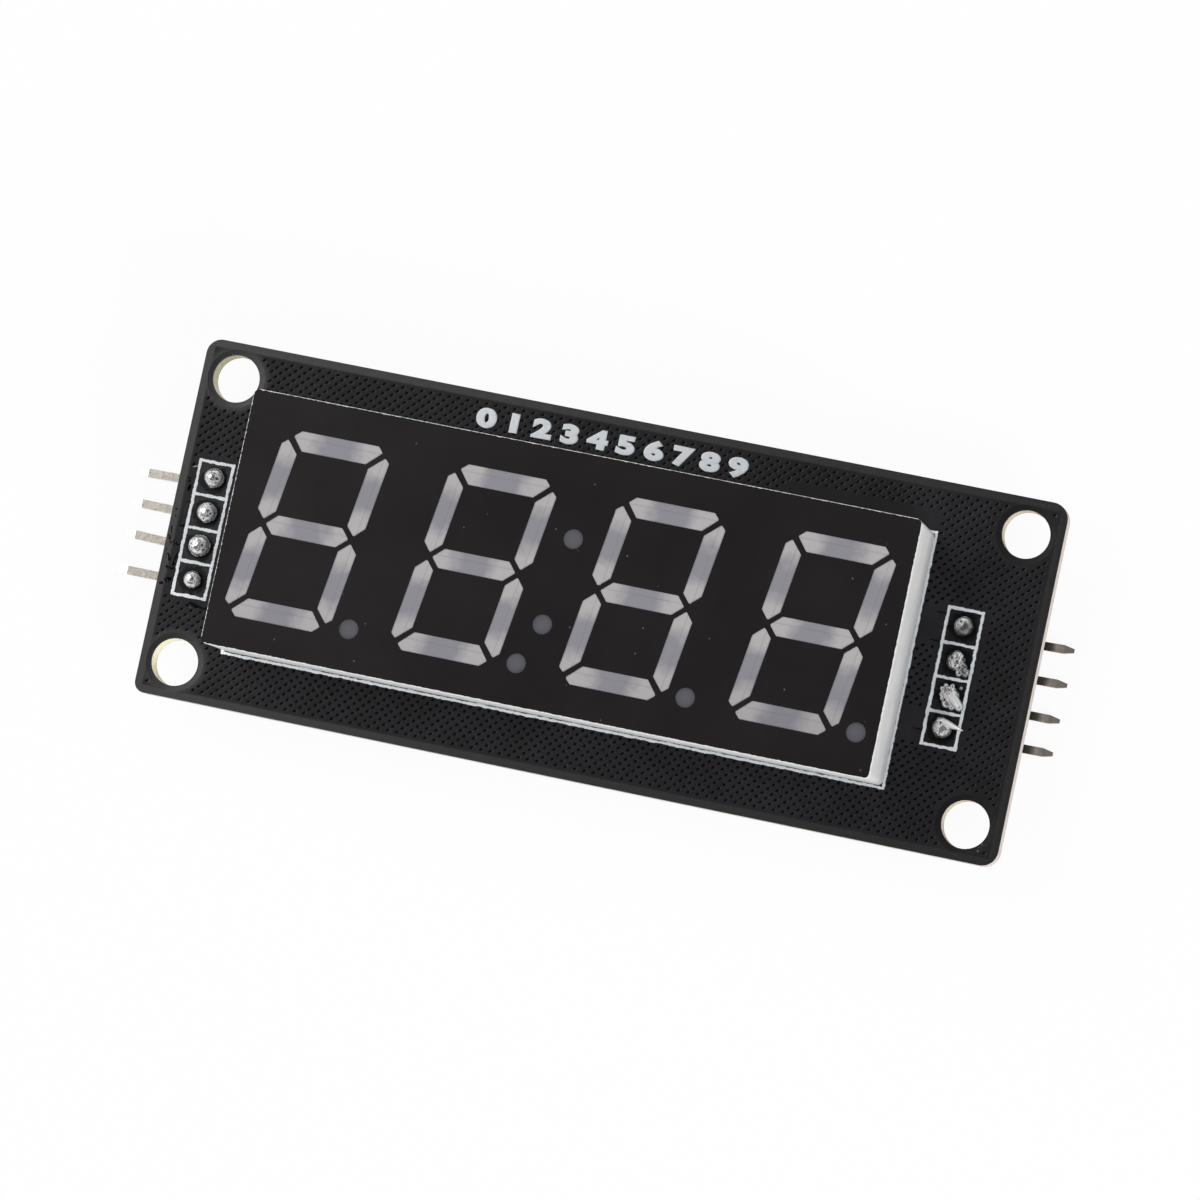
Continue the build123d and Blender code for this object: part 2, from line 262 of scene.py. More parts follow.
mask = {
    "plainColour": (0.0022, 0.0020, 0.0024),
    "copperColour": (0.0112, 0.0102, 0.0118),
    # the pit floors are mask over bare laminate, made darker still than the plain mask as painted shade in
    # the pits
    "pitColours": ((0.0006, 0.0006, 0.0008), (0.0020, 0.0018, 0.0022)),
    "plainGloss": 0.45,
    "copperGloss": 0.22,
    "bandGloss": 0.80,             # in the bands without pits
    "edgeBand": (0.66, 0.52),      # from the outline: where the band begins, and where it is full
    "holeBand": (2.3, 2.7),        # from a hole's centre
    "holeBandShare": (0.6, 0.1),   # at the left holes and at the right ones
    "holeSink": (1.85, 2.2),       # where the coat sinks towards a hole
    "holeSinkDepth": 0.022,
    "fluxColour": (0.0004, 0.0004, 0.0005),
    "fluxPlace": ((-32.1, -1.2), (0.60, 4.4), 0, 0.3),
    "fluxLine": (0.012, 0.040),
    "jointStain": 0.55,
    # centre, half size, degrees and strength of a smear, a spot and the dashes at the traces
    "darkSpots": (((-29.65, -6.35), (0.66, 0.13), -12, 0.75), ((-32.5, -5.2), (0.16, 0.13), 0, 0.9),
                  ((26.05, 3.12), (0.36, 0.04), 0, 0.8), ((25.3, 4.02), (0.55, 0.045), 0, 0.9),
                  ((25.3, 1.93), (0.5, 0.045), 0, 0.9), ((25.3, -4.65), (0.5, 0.045), 0, 0.9)),
    "paleColour": (0.36, 0.36, 0.36),
    "scratch": ((-31.8, 3.82), (0.24, 0.035), 22, 0.15),
    # specks per mm, their size, and the patch that they stand in
    "scuffs": ((3.2, 0.36, ((31.75, -12.2), (0.95, 0.22), 50, 0.2)),
               (3.0, 0.30, ((31.4, 13.15), (0.7, 0.12), 4, 0.2))),
    "scuffShare": 0.3,
}


def jointStain(tree, side):
    # dark flux round the four joints of one header, fading towards the printed lines
    x, y = headerCentres[side]
    turns = mathNode(tree, "DIVIDE", minus(tree, axisOf(tree, "Y"), y * mm), pitch * mm)
    upDown = minus(tree, mathNode(tree, "FRACT", plus(tree, turns, 10.0)), 0.5)
    away = vector(tree, mathNode(tree, "DIVIDE", fromMiddle(tree, "X", x), pitch * mm), upDown)
    uneven = plus(tree, lengthOf(tree, away), spread(tree, grain(tree, 1.8, 3), -0.07, 0.07))
    inRow = remap(tree, fromMiddle(tree, "Y", y), 4.9 * mm, 5.1 * mm, 1, 0)
    return times(tree, inRow, remap(tree, uneven, 0.38, 0.46, mask["jointStain"], 0))


def fluxMarks(tree, overCopper):
    # thin wavy outlines beside the left header, and single spots
    swirl = grain(tree, 0.55, 2, 0.5, (1.6, 1, 1), 1.2)
    outlines = remap(tree, absolute(tree, minus(tree, swirl, 0.5)), *mask["fluxLine"], 1, 0)
    dark = times(tree, outlines, patch(tree, *mask["fluxPlace"]))
    for centre, halfSize, degrees, share in mask["darkSpots"]:
        dark = most(tree, dark, times(tree, patch(tree, centre, halfSize, degrees, 0.4), share))
    if not overCopper:
        dark = most(tree, dark, *(jointStain(tree, side) for side in headerCentres))
    return dark


def paleMarks(tree):
    # a scratch, dust, and scuffs outside two of the corner holes
    scuffs = [times(tree, specks(tree, perMm, size), patch(tree, *place))
              for perMm, size, place in mask["scuffs"]]
    small = most(tree, specks(tree, 0.42, 0.028), *scuffs)
    return most(tree, patch(tree, *mask["scratch"]), times(tree, small, mask["scuffShare"]))


def plainBand(tree, fromHole):
    # 1 in the band along the outline, and less round the holes
    start, full = mask["edgeBand"]
    sides = [remap(tree, fromMiddle(tree, axis, middle), (half - start) * mm, (half - full) * mm)
             for axis, middle, half in zip("XY", boardMiddle, boardHalf)]
    share = axisRamp(tree, "X", -20, 20, *mask["holeBandShare"])
    return most(tree, times(tree, remap(tree, fromHole, *mask["holeBand"], 1, 0), share), *sides)


def solderMask(name, overCopper):
    kind = "copper" if overCopper else "plain"
    body = mask[kind + "Colour"]
    material, tree, shader = startMaterial(name, {})
    fine = grain(tree, 9.0, 3)
    dark = fluxMarks(tree, overCopper)
    fromHole = holeDistance(tree)
    band = plainBand(tree, fromHole)
    colour = mixColours(tree, remap(tree, grain(tree, 0.35, 4), 0.4, 0.7), body, scaled(body, 1.5))
    colour = mixColours(tree, dark, colour, mask["fluxColour"])
    colour = mixColours(tree, paleMarks(tree), colour, mask["paleColour"])
    relief = bumpFrom(tree, grain(tree, 1.6, 3), 0.010, 0.6)
    if overCopper:
        colour = mixColours(tree, times(tree, band, 0.8), colour, mask["plainColour"])
    else:
        relief = bumpFrom(tree, remap(tree, fromHole, *mask["holeSink"]), mask["holeSinkDepth"], 1.0, relief)
    relief = bumpFrom(tree, dark, 0.02, 0.6, relief)
    gloss = remap(tree, band, 0, 1, mask[kind + "Gloss"], mask["bandGloss"])
    feed(tree, shader, colour=colour, roughness=spread(tree, fine, 0.28, 0.38),
         gloss=times(tree, minus(tree, 1.0, dark), gloss), normal=bumpFrom(tree, fine, 0.0015, 0.5, relief))
    return material


def pitBottom():
    # painted shade: the floors are darker than plain mask over laminate
    material, tree, shader = startMaterial("pitFinish", {"Specular IOR Level": 0.05})
    fine = grain(tree, 7.0, 3)
    colour = mixColours(tree, remap(tree, fine, 0.35, 0.65), *mask["pitColours"])
    feed(tree, shader, colour=colour, roughness=spread(tree, fine, 0.4, 0.6))
    return material


# The other finishes, one function for each slot of the record

finishes = {
    "faceBlack": (0.0138, 0.0118, 0.0128),
    "faceRimWidth": (0.075, 0.055),     # of the bare rim, at the left and over the rest
    "housingWhite": (0.84, 0.83, 0.815),
    "printWhite": (0.68, 0.71, 0.74),
    # printBright is painted light: the print is made brighter towards the left end
    "printBright": (0.86, 0.89, 0.92),  # towards the left end
    "laminateEdge": (0.68, 0.61, 0.58),
    "laminateCream": (0.97, 0.93, 0.72),
    "laminateBrown": (0.70, 0.60, 0.48),
    "barEnd": (0.425, 0.405, 0.41),
    "barMiddle": (0.248, 0.242, 0.272),
    "dotBody": (0.082, 0.082, 0.095),
    "pinSilver": (0.80, 0.74, 0.66),
    "solderBright": (0.80, 0.79, 0.79),
    # colour of the painted highlight on drawn-out solder
    "solderPaintedHighlight": (0.95, 0.94, 0.95),
    "solderDullAndShade": (0.035, 0.035, 0.04),
    "padTin": (0.62, 0.60, 0.56),
}


def laminate():
    # creamy in the holes, paler to the left and browner to the right as painted light, and pinkish on the
    # board's outer edge
    material, tree, shader = startMaterial("laminateFinish", {"Specular IOR Level": 0.3})
    layers = grain(tree, 1.1, 4, 0.6, (1, 1, 9))
    fibres = grain(tree, 5.0, 3, 0.6, (1, 1, 3))
    ends = [remap(tree, fromMiddle(tree, axis), (half - 0.5) * mm, (half - 0.3) * mm)
            for axis, half in zip("XY", boardHalf)]
    cream, brown = finishes["laminateCream"], finishes["laminateBrown"]
    # painted light: the hole walls are lighter to the left and browner to the right
    inside = mixColours(tree, axisRamp(tree, "X", -20, 20), cream, brown)
    cut = mixColours(tree, most(tree, *ends), inside, finishes["laminateEdge"])
    darker = mixColours(tree, 0.22, cut, (0.30, 0.22, 0.15))
    body = mixColours(tree, remap(tree, layers, 0.42, 0.68), cut, darker)
    speck = mixColours(tree, remap(tree, fibres, 0.60, 0.72, 0, 0.6), body, (0.86, 0.82, 0.78))
    feed(tree, shader, colour=speck, roughness=spread(tree, fibres, 0.55, 0.8),
         normal=bumpFrom(tree, fibres, 0.02, 0.7))
    return material


def metal(name, colour, contrast, roughness, bumpSize, perMm=3.0, shade=0.62):
    material, tree, shader = startMaterial(name, {"Metallic": 1.0})
    patches = grain(tree, perMm, 4, 0.65)
    fine = grain(tree, perMm * 5, 3, 0.6)
    light = remap(tree, patches, 0.5 - contrast, 0.5 + contrast)
    mixed = mixColours(tree, light, scaled(colour, shade), colour)
    feed(tree, shader, colour=mixed, roughness=spread(tree, fine, *roughness),
         normal=bumpFrom(tree, fine, bumpSize, 0.6, bumpFrom(tree, patches, bumpSize * 3, 0.5)))
    return material


def printedWhite():
    material, tree, shader = startMaterial("printFinish", {"Specular IOR Level": 0.35})
    fine = grain(tree, 11.0, 2, 0.6)
    white, bright = finishes["printWhite"], finishes["printBright"]
    # painted light: the ink brightens towards the left
    ink = mixColours(tree, axisRamp(tree, "X", -20, 26, 1, 0), white, bright)
    thin = mixColours(tree, 0.35, ink, (0.30, 0.32, 0.38))
    colour = mixColours(tree, remap(tree, grain(tree, 2.4, 4, 0.7), 0.52, 0.72, 0, 0.8), ink, thin)
    worn = mixColours(tree, remap(tree, fine, 0.66, 0.74, 0, 0.35), colour, (0.10, 0.10, 0.11))
    feed(tree, shader, colour=worn, roughness=spread(tree, fine, 0.45, 0.65),
         normal=bumpFrom(tree, fine, 0.01, 0.7))
    return material


def housingPlastic():
    # greyer at the foot as painted shade, brighter in an uneven rim under the face, with whitish dust
    material, tree, shader = startMaterial("housingFinish", {
        "Specular IOR Level": 0.4, "Subsurface Weight": 0.12, "Subsurface Scale": 0.6 * mm})
    fine = grain(tree, 8.0, 3, 0.6)
    base = finishes["housingWhite"]
    cool = tuple(c * k for c, k in zip(base, (0.90, 0.92, 0.94)))
    colour = mixColours(tree, remap(tree, grain(tree, 0.5, 3), 0.35, 0.65), cool, base)
    # painted shade: the walls darken towards their foot on the board
    foot = axisRamp(tree, "Z", boardTop + 0.4, boardTop + 3.0, 0.55, 0.0)
    shaded = mixColours(tree, foot, colour, (0.34, 0.36, 0.38))
    level = plus(tree, axisOf(tree, "Z"), spread(tree, fine, -0.25 * mm, 0.25 * mm))
    rim = remap(tree, level, (coatLow.z - 0.9) * mm, (coatLow.z - 0.1) * mm)
    rimmed = mixColours(tree, rim, shaded, (0.92, 0.92, 0.91))
    dusty = mixColours(tree, specks(tree, 1.9, 0.16), rimmed, (0.95, 0.95, 0.94))
    feed(tree, shader, colour=dusty, roughness=spread(tree, fine, 0.38, 0.55),
         normal=bumpFrom(tree, fine, 0.008, 0.6))
    return material


def faceCoat():
    material, tree, shader = startMaterial("faceFinish", {"Specular IOR Level": 0.1})
    fine = grain(tree, 14.0, 2, 0.5)
    base = finishes["faceBlack"]
    colour = mixColours(tree, remap(tree, grain(tree, 0.12, 4, 0.6), 0.35, 0.65), base, scaled(base, 1.35))
    # painted sheen: the coat is left lighter at its left end and darkened towards the right
    colour = mixColours(tree, axisRamp(tree, "X", -26, -4, 0.0, 0.22), colour, (0, 0, 0))
    dusty = mixColours(tree, specks(tree, 0.55, 0.045), colour, (0.10, 0.10, 0.10))
    # the white plastic shows along the outline, where the coat ends unevenly
    inwards = [minus(tree, half * mm, fromMiddle(tree, axis, middle))
               for axis, middle, half in zip("XY", coatMiddle, coatHalf)]
    widest = axisRamp(tree, "X", -26, -16, *(width * mm for width in finishes["faceRimWidth"]))
    width = times(tree, remap(tree, grain(tree, 3.2, 4, 0.75), 0.44, 0.74), widest)
    bare = mathNode(tree, "GREATER_THAN", width, mathNode(tree, "MINIMUM", *inwards))
    feed(tree, shader, colour=mixColours(tree, bare, dusty, (0.80, 0.80, 0.80)),
         roughness=spread(tree, fine, 0.42, 0.50), normal=bumpFrom(tree, fine, 0.002, 0.4))
    return material


def barColour(tree, lengthwise, across, shift):
    # paler at both ends, with a faint darker line, and dimmer towards the lower right of the display as
    # painted shade
    middle, end = finishes["barMiddle"], finishes["barEnd"]
    reach = plus(tree, absolute(tree, lengthwise), shift)
    bar = colourRamp(tree, reach, [(0.0, middle), (0.28, middle), (0.62, end), (1.0, scaled(end, 1.04))])
    line = remap(tree, absolute(tree, minus(tree, across, 0.28)), 0.03, 0.12, 0.22, 0.0)
    lined = mixColours(tree, line, bar, scaled(middle, 0.6))
    # painted shade dims the bars towards the lower right
    gloom = times(tree, axisRamp(tree, "X", 4, 24, 0.2, 1), axisRamp(tree, "Y", -3, -6.5, 0, 0.26))
    return mixColours(tree, gloom, lined, (0.02, 0.02, 0.02))


def dotColour(tree, lengthwise, across, shift):
    body = finishes["dotBody"]
    radius = lengthOf(tree, vector(tree, minus(tree, lengthwise, dotShift), across))
    stops = [(0.0, scaled(body, 1.12)), (0.6, body), (0.95, scaled(body, 0.75))]
    return colourRamp(tree, plus(tree, radius, shift), stops)


def milkyResin():
    # the resin's own map runs along and across each bar, from -1 to 1, and the dots sit further on
    material, tree, shader = startMaterial("resinFinish", {"Specular IOR Level": 0.4})
    place = addNode(tree, "ShaderNodeUVMap", uv_map="segmentMap").outputs["UV"]
    split = addNode(tree, "ShaderNodeSeparateXYZ", {"Vector": place})
    lengthwise, across = split.outputs["X"], split.outputs["Y"]
    shift = spread(tree, grain(tree, 0.8, 3, 0.6), -0.12, 0.12)
    isDot = mathNode(tree, "GREATER_THAN", lengthwise, dotShift / 2)
    colour = mixColours(tree, isDot, barColour(tree, lengthwise, across, shift),
                        dotColour(tree, lengthwise, across, shift))
    fine = grain(tree, 12.0, 2, 0.5)
    feed(tree, shader, colour=colour, roughness=spread(tree, fine, 0.40, 0.52),
         normal=bumpFrom(tree, fine, 0.002, 0.4))
    return material


def mouldedBlack(name, colour, roughness):
    material, tree, shader = startMaterial(name, {"Specular IOR Level": 0.4})
    fine = grain(tree, 10.0, 4, 0.65)
    mixed = mixColours(tree, remap(tree, grain(tree, 0.9, 3), 0.35, 0.65), colour, scaled(colour, 1.6))
    feed(tree, shader, colour=mixed, roughness=spread(tree, fine, *roughness),
         normal=bumpFrom(tree, fine, 0.012, 0.6))
    return material


def ceramic(name, colour, speckColour):
    material, tree, shader = startMaterial(name, {"Specular IOR Level": 0.4})
    fine = grain(tree, 7.0, 4, 0.7)
    feed(tree, shader, colour=mixColours(tree, remap(tree, fine, 0.4, 0.65), colour, speckColour),
         roughness=spread(tree, fine, 0.4, 0.6), normal=bumpFrom(tree, fine, 0.008, 0.5))
    return material


def solderJoint(name, marked):
    # marked joints carry a dull attribute: darker at their foot, in craters and in specks, painted shade on
    # the right side and the lower right, and below zero a painted highlight where drawn out
    material, tree, shader = startMaterial(name, {"Metallic": 1.0})
    patches = grain(tree, 2.4, 4, 0.6)
    fine = grain(tree, 12.0, 3, 0.6)
    shade = remap(tree, patches, 0.52, 0.72, 0, 0.45)
    bright = finishes["solderBright"]
    rough = spread(tree, fine, 0.13, 0.23)
    if marked:
        found = addNode(tree, "ShaderNodeAttribute", attribute_name="dull").outputs["Fac"]
        # painted highlight: below zero the attribute whitens the colour and roughens it
        paintedHighlight = times(tree, found, -1.0, clamp=True)
        # the attribute carries painted shade along with the dullness
        shade = most(tree, times(tree, shade, minus(tree, 1.0, paintedHighlight)), found)
        bright = mixColours(tree, paintedHighlight, bright, finishes["solderPaintedHighlight"])
        rough = plus(tree, rough, times(tree, paintedHighlight, 0.34))
    feed(tree, shader, colour=mixColours(tree, shade, bright, finishes["solderDullAndShade"]),
         roughness=plus(tree, rough, times(tree, shade, 0.15)),
         normal=bumpFrom(tree, fine, 0.005, 0.5, bumpFrom(tree, patches, 0.02, 0.5)))
    return material


slotFinishes = {
    "laminate": laminate(),
    "solder_mask": solderMask("maskFinish", False),
    "pad_metal": metal("padFinish", finishes["padTin"], 0.2, (0.22, 0.42), 0.004),
    "print_white": printedWhite(),
    "housing_white": housingPlastic(),
    "face_black": faceCoat(),
    "light_casting": milkyResin(),
    "substrate": ceramic("substrateFinish", (0.50, 0.46, 0.30), (0.58, 0.55, 0.40)),
    "led_die": ceramic("dieFinish", (0.35, 0.30, 0.16), (0.55, 0.50, 0.30)),
    "pin_metal": metal("pinFinish", finishes["pinSilver"], 0.14, (0.14, 0.26), 0.003, 2.6, 0.8),
    "solder": solderJoint("solderFinish", False),
    "header_plastic": mouldedBlack("headerFinish", (0.010, 0.010, 0.011), (0.42, 0.60)),
    "driver_plastic": mouldedBlack("driverFinish", (0.014, 0.014, 0.015), (0.50, 0.68)),
    "resistor_black": ceramic("resistorFinish", (0.012, 0.012, 0.014), (0.03, 0.03, 0.035)),
    "capacitor_tan": ceramic("capacitorFinish", (0.30, 0.20, 0.12), (0.36, 0.26, 0.17)),
}
copperMask = solderMask("maskOverCopperFinish", True)
pitFloor = pitBottom()
solderSkin = solderJoint("solderSkinFinish", True)

for name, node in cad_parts.items():
    for place, held in enumerate(node.material_slots):
        wanted = [s for s in slotFinishes if held.material and held.material.name.startswith(s)]
        if wanted:
            held.material = slotFinishes[max(wanted, key=len)]
        else:
            print("no finish for", name, held.material and held.material.name)
print("stage: finishes given to the CAD nodes")


# Making pieces


def newObject(name, data):
    made = bpy.data.objects.new(name, data)
    bpy.context.scene.collection.objects.link(made)
    return made


def evaluatedMesh(holder):
    bpy.context.view_layer.update()
    return bpy.data.meshes.new_from_object(holder.evaluated_get(bpy.context.evaluated_depsgraph_get()))


def finishPiece(piece, material, replaced=()):
    piece.data.materials.clear()
    piece.data.materials.append(material)
    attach(piece, "root")
    if replaced:
        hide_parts(*replaced)
    return piece


def pieceFromBmesh(name, shape):
    mesh = bpy.data.meshes.new(name)
    shape.to_mesh(mesh)
    shape.free()
    return newObject(name, mesh)


# Copper pour under the front and rear coating: raised, with a hatch of small pits

pour = {
    "step": 0.508,           # between pits, along both diagonals
    "pitLength": 0.47,
    "pitWidth": 0.30,
    "pitDepth": 0.017,
    "pitTurn": 40.0,
    "pitSides": {"front": 8, "rear": 6},
    "floorShare": 0.64,      # of the mouth
    "height": 0.024,
    "weld": 0.002,
    "cornerRadius": 1.0,
    "edgeGap": 0.22,
    "edgeBand": 0.20,        # bands without pits
    "ringBand": 0.10,
    "boxBand": 0.16,
    "ringPitShare": 0.7,     # of half a pit's length, added to those bands
    "boxPitShare": 0.5,
    "tileMargin": 0.04,
}
diamondReach = pour["step"] * math.sqrt(0.5)


def pourTree(kinds):
    tree = bpy.data.node_groups.new("pouredCopper", "GeometryNodeTree")
    for label, kind in (("Tiles", "Geometry"), *kinds.items()):
        tree.interface.new_socket(label, in_out="INPUT", socket_type="NodeSocket" + kind)
    tree.interface.new_socket("Relief", in_out="OUTPUT", socket_type="NodeSocketGeometry")
    given = addNode(tree, "NodeGroupInput").outputs
    size = vector(tree, given["Pit Length"], given["Pit Width"], 1.0)
    turn = vector(tree, z=given["Pit Turn"])
    up = vector(tree, z=given["Height"])
    down = vector(tree, z=times(tree, given["Height"], -1.0))
    sink = vector(tree, z=times(tree, given["Pit Depth"], -1.0))

    def add(kind, inputs, **settings):
        return addNode(tree, "GeometryNode" + kind, inputs, **settings).outputs

    def placed(instance, points):
        copies = add("InstanceOnPoints", {"Points": points, "Instance": instance})
        return add("RealizeInstances", {"Geometry": copies[0]})[0]

    def shaped(geometry):
        return add("Transform", {"Geometry": geometry, "Rotation": turn, "Scale": size})[0]

    def joined(*parts):
        node = addNode(tree, "GeometryNodeJoinGeometry")
        for part in parts:
            tree.links.new(part, node.inputs[0])
        return node.outputs[0]

    def finished(geometry, material, chosen=True):
        return add("SetMaterial", {"Geometry": geometry, "Selection": chosen, "Material": material})[0]

    def welded(geometry):
        return add("MergeByDistance", {"Geometry": geometry, "Distance": given["Weld"]})[0]

    def openEdges():
        inputs = {2: add("InputMeshEdgeNeighbors", {})[0], 3: 1}
        return addNode(tree, "FunctionNodeCompare", inputs, data_type="INT", operation="EQUAL").outputs[0]

    # one pit: a disc pushed down, with a smaller floor
    disc = add("MeshCircle", {"Vertices": given["Pit Sides"], "Radius": 0.5}, fill_type="NGON")[0]
    sunk = add("ExtrudeMesh", {"Mesh": shaped(disc), "Offset": sink})
    bottom = sunk["Top"]
    inputs = {"Geometry": sunk["Mesh"], "Selection": bottom, "Scale": given["Floor Share"]}
    narrowed = add("ScaleElements", inputs)[0]
    pit = finished(finished(narrowed, given["Land"]), given["Floor"], bottom)

    # one tile of the hatch: a diamond of land with a pit in it
    mouth = shaped(add("CurvePrimitiveCircle", {"Resolution": given["Pit Sides"], "Radius": 0.5})[0])
    rim = add("CurvePrimitiveCircle", {"Resolution": 4, "Radius": given["Tile Reach"]})[0]
    tileLand = add("FillCurve", {"Curve": joined(rim, mouth)})[0]
    hatch = placed(joined(finished(tileLand, given["Land"]), pit), given["Tiles"])

    # the land between the hatch and the outline, with the pits that stand there
    blank = add("MeshCircle", {"Vertices": 4, "Radius": given["Tile Reach"]}, fill_type="NGON")[0]
    whole = welded(placed(blank, given["Tiles"]))
    hatchEdge = add("MeshToCurve", {"Mesh": whole, "Selection": openEdges()})[0]
    outline = add("ObjectInfo", {"Object": given["Outline"]})["Geometry"]
    outlineCurve = add("MeshToCurve", {"Mesh": outline})[0]
    edgePlaces = add("ObjectInfo", {"Object": given["Edge Pits"]})["Geometry"]
    border = add("FillCurve", {"Curve": joined(hatchEdge, outlineCurve, placed(mouth, edgePlaces))})[0]
    flat = welded(joined(hatch, finished(border, given["Land"]), placed(pit, edgePlaces)))

    # a skirt down to the board round the outside
    skirt = add("ExtrudeMesh", {"Mesh": flat, "Selection": openEdges(), "Offset": down}, mode="EDGES")
    lifted = add("SetPosition", {"Geometry": skirt["Mesh"], "Offset": up})[0]
    addNode(tree, "NodeGroupOutput", {"Relief": add("RealizeInstances", {"Geometry": lifted})[0]})
    return tree


def nearBox(x, y, box, reach):
    (cx, cy), (halfX, halfY) = box
    return abs(x - cx) < halfX + reach and abs(y - cy) < halfY + reach


def sortPlaces(boxes, rings, plainBoxes):
    # every place of the lattice where a pit may stand: as a whole tile or, near an edge, as a lone pit
    count = int(boardHalf.x * 2 / diamondReach) + 2
    pitReach = pour["pitLength"] / 2
    inset = pour["edgeGap"] + pour["edgeBand"] + pitReach
    ringReach = pour["ringBand"] + pitReach * pour["ringPitShare"]
    boxReach = pour["boxBand"] + pitReach * pour["boxPitShare"]
    reach = diamondReach + pour["tileMargin"]
    tiles, lone = set(), set()
    for m in range(-count, count):
        for n in range(-count, count):
            x, y = diamondReach * (m + n), diamondReach * (n - m)
            fromEdge = min(boardHalf.x - abs(x - boardMiddle.x), boardHalf.y - abs(y - boardMiddle.y))
            fromRing = min(math.hypot(x - rx, y - ry) - radius for (rx, ry), radius in rings)
            if fromEdge < inset or fromRing < ringReach or any(nearBox(x, y, box, 0) for box in plainBoxes):
                continue
            if any(nearBox(x, y, box, boxReach) for box in boxes):
                continue
            whole = fromEdge > pour["edgeGap"] + reach and fromRing > reach
            if whole and not any(nearBox(x, y, box, reach) for box in boxes):
                tiles.add((m, n))
            else:
                lone.add((m, n))
    return tidyTiles(tiles, lone)


def tidyTiles(tiles, lone):
    # two tiles that only touch at a corner would cut the land in two there
    while True:
        loose = {(m, n) for m, n in tiles for dm, dn in ((1, 1), (1, -1), (-1, 1), (-1, -1))
                 if (m + dm, n + dn) in tiles and (m + dm, n) not in tiles and (m, n + dn) not in tiles}
        if not loose:
            break
        first = min(loose)
        tiles.discard(first)
        lone.add(first)

    def spots(found):
        return [(diamondReach * (m + n), diamondReach * (n - m)) for m, n in sorted(found)]

    return spots(tiles), spots(lone)


def roundedLoop(centre, halfX, halfY, radius, steps=8):
    loop = []
    for turn, (sx, sy) in enumerate(((1, 1), (-1, 1), (-1, -1), (1, -1))):
        for i in range(steps + 1):
            angle = math.radians(90 * (turn + i / steps))
            loop.append((centre[0] + sx * (halfX - radius) + radius * math.cos(angle),
                         centre[1] + sy * (halfY - radius) + radius * math.sin(angle)))
    return loop


def circleLoop(centre, radius, steps=64):
    return [(centre[0] + radius * math.cos(2 * math.pi * i / steps),
             centre[1] + radius * math.sin(2 * math.pi * i / steps)) for i in range(steps)]


def boxLoop(box):
    (cx, cy), (halfX, halfY) = box
    return [(cx + x * halfX, cy + y * halfY) for x, y in ((1, 1), (-1, 1), (-1, -1), (1, -1))]


def loopsObject(name, loops, loose=()):
    verts, edges = [(x * mm, y * mm, 0) for x, y in loose], []
    for loop in loops:
        first = len(verts)
        verts += [(x * mm, y * mm, 0) for x, y in loop]
        edges += [(first + i, first + (i + 1) % len(loop)) for i in range(len(loop))]
    mesh = bpy.data.meshes.new(name)
    mesh.from_pydata(verts, edges, [])
    return newObject(name, mesh)


def makePour(face, boxes, rings, plainBoxes):
    # the rear is made face up with y turned over, and then rolled over the x axis
    side = -1 if face == "rear" else 1
    tiles, lone = sortPlaces(boxes, rings, plainBoxes)
    gap = pour["edgeGap"]
    loops = [roundedLoop(boardMiddle, boardHalf.x - gap, boardHalf.y - gap, pour["cornerRadius"])]
    loops += [circleLoop(centre, radius) for centre, radius in rings]
    loops += [boxLoop(box) for box in boxes]
    name = face + "_copper_pour"
    holder = loopsObject(name, [], [(x, y * side) for x, y in tiles])
    edgePits = loopsObject(name + "EdgePits", [], [(x, y * side) for x, y in lone])
    outline = loopsObject(name + "Outline", [[(x, y * side) for x, y in loop] for loop in loops])
    table = {
        "Edge Pits": ("Object", edgePits),
        "Outline": ("Object", outline),
        "Tile Reach": ("Float", diamondReach * mm),
        "Pit Length": ("Float", pour["pitLength"] * mm),
        "Pit Width": ("Float", pour["pitWidth"] * mm),
        "Pit Turn": ("Float", math.radians(pour["pitTurn"] * side)),
        "Pit Sides": ("Int", pour["pitSides"][face]),
        "Floor Share": ("Float", pour["floorShare"]),
        "Pit Depth": ("Float", pour["pitDepth"] * mm),
        "Height": ("Float", pour["height"] * mm),
        "Weld": ("Float", pour["weld"] * mm),
        "Land": ("Material", copperMask),
        "Floor": ("Material", pitFloor),
    }
    modifier = holder.modifiers.new("pour", "NODES")
    modifier.node_group = pourTree({label: kind for label, (kind, _) in table.items()})
    for item in modifier.node_group.interface.items_tree:
        if item.name in table:
            modifier[item.identifier] = table[item.name][1]
    relief = evaluatedMesh(holder)
    relief.name = name
    if face == "rear":
        relief.transform(Matrix.Rotation(math.pi, 4, "X"))
    else:
        relief.transform(Matrix.Translation((0, 0, boardTop * mm)))
    holder.modifiers.clear()
    for spare in (holder, edgePits, outline):
        bpy.data.objects.remove(spare)
    piece = newObject(name, relief)
    print("stage:", name, len(tiles), "tiles,", len(lone), "edge pits,", len(relief.polygons), "faces")
    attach(piece, "root")


# Where the pour is open or has no pits: rings are a centre and a radius, boxes a centre and half a size

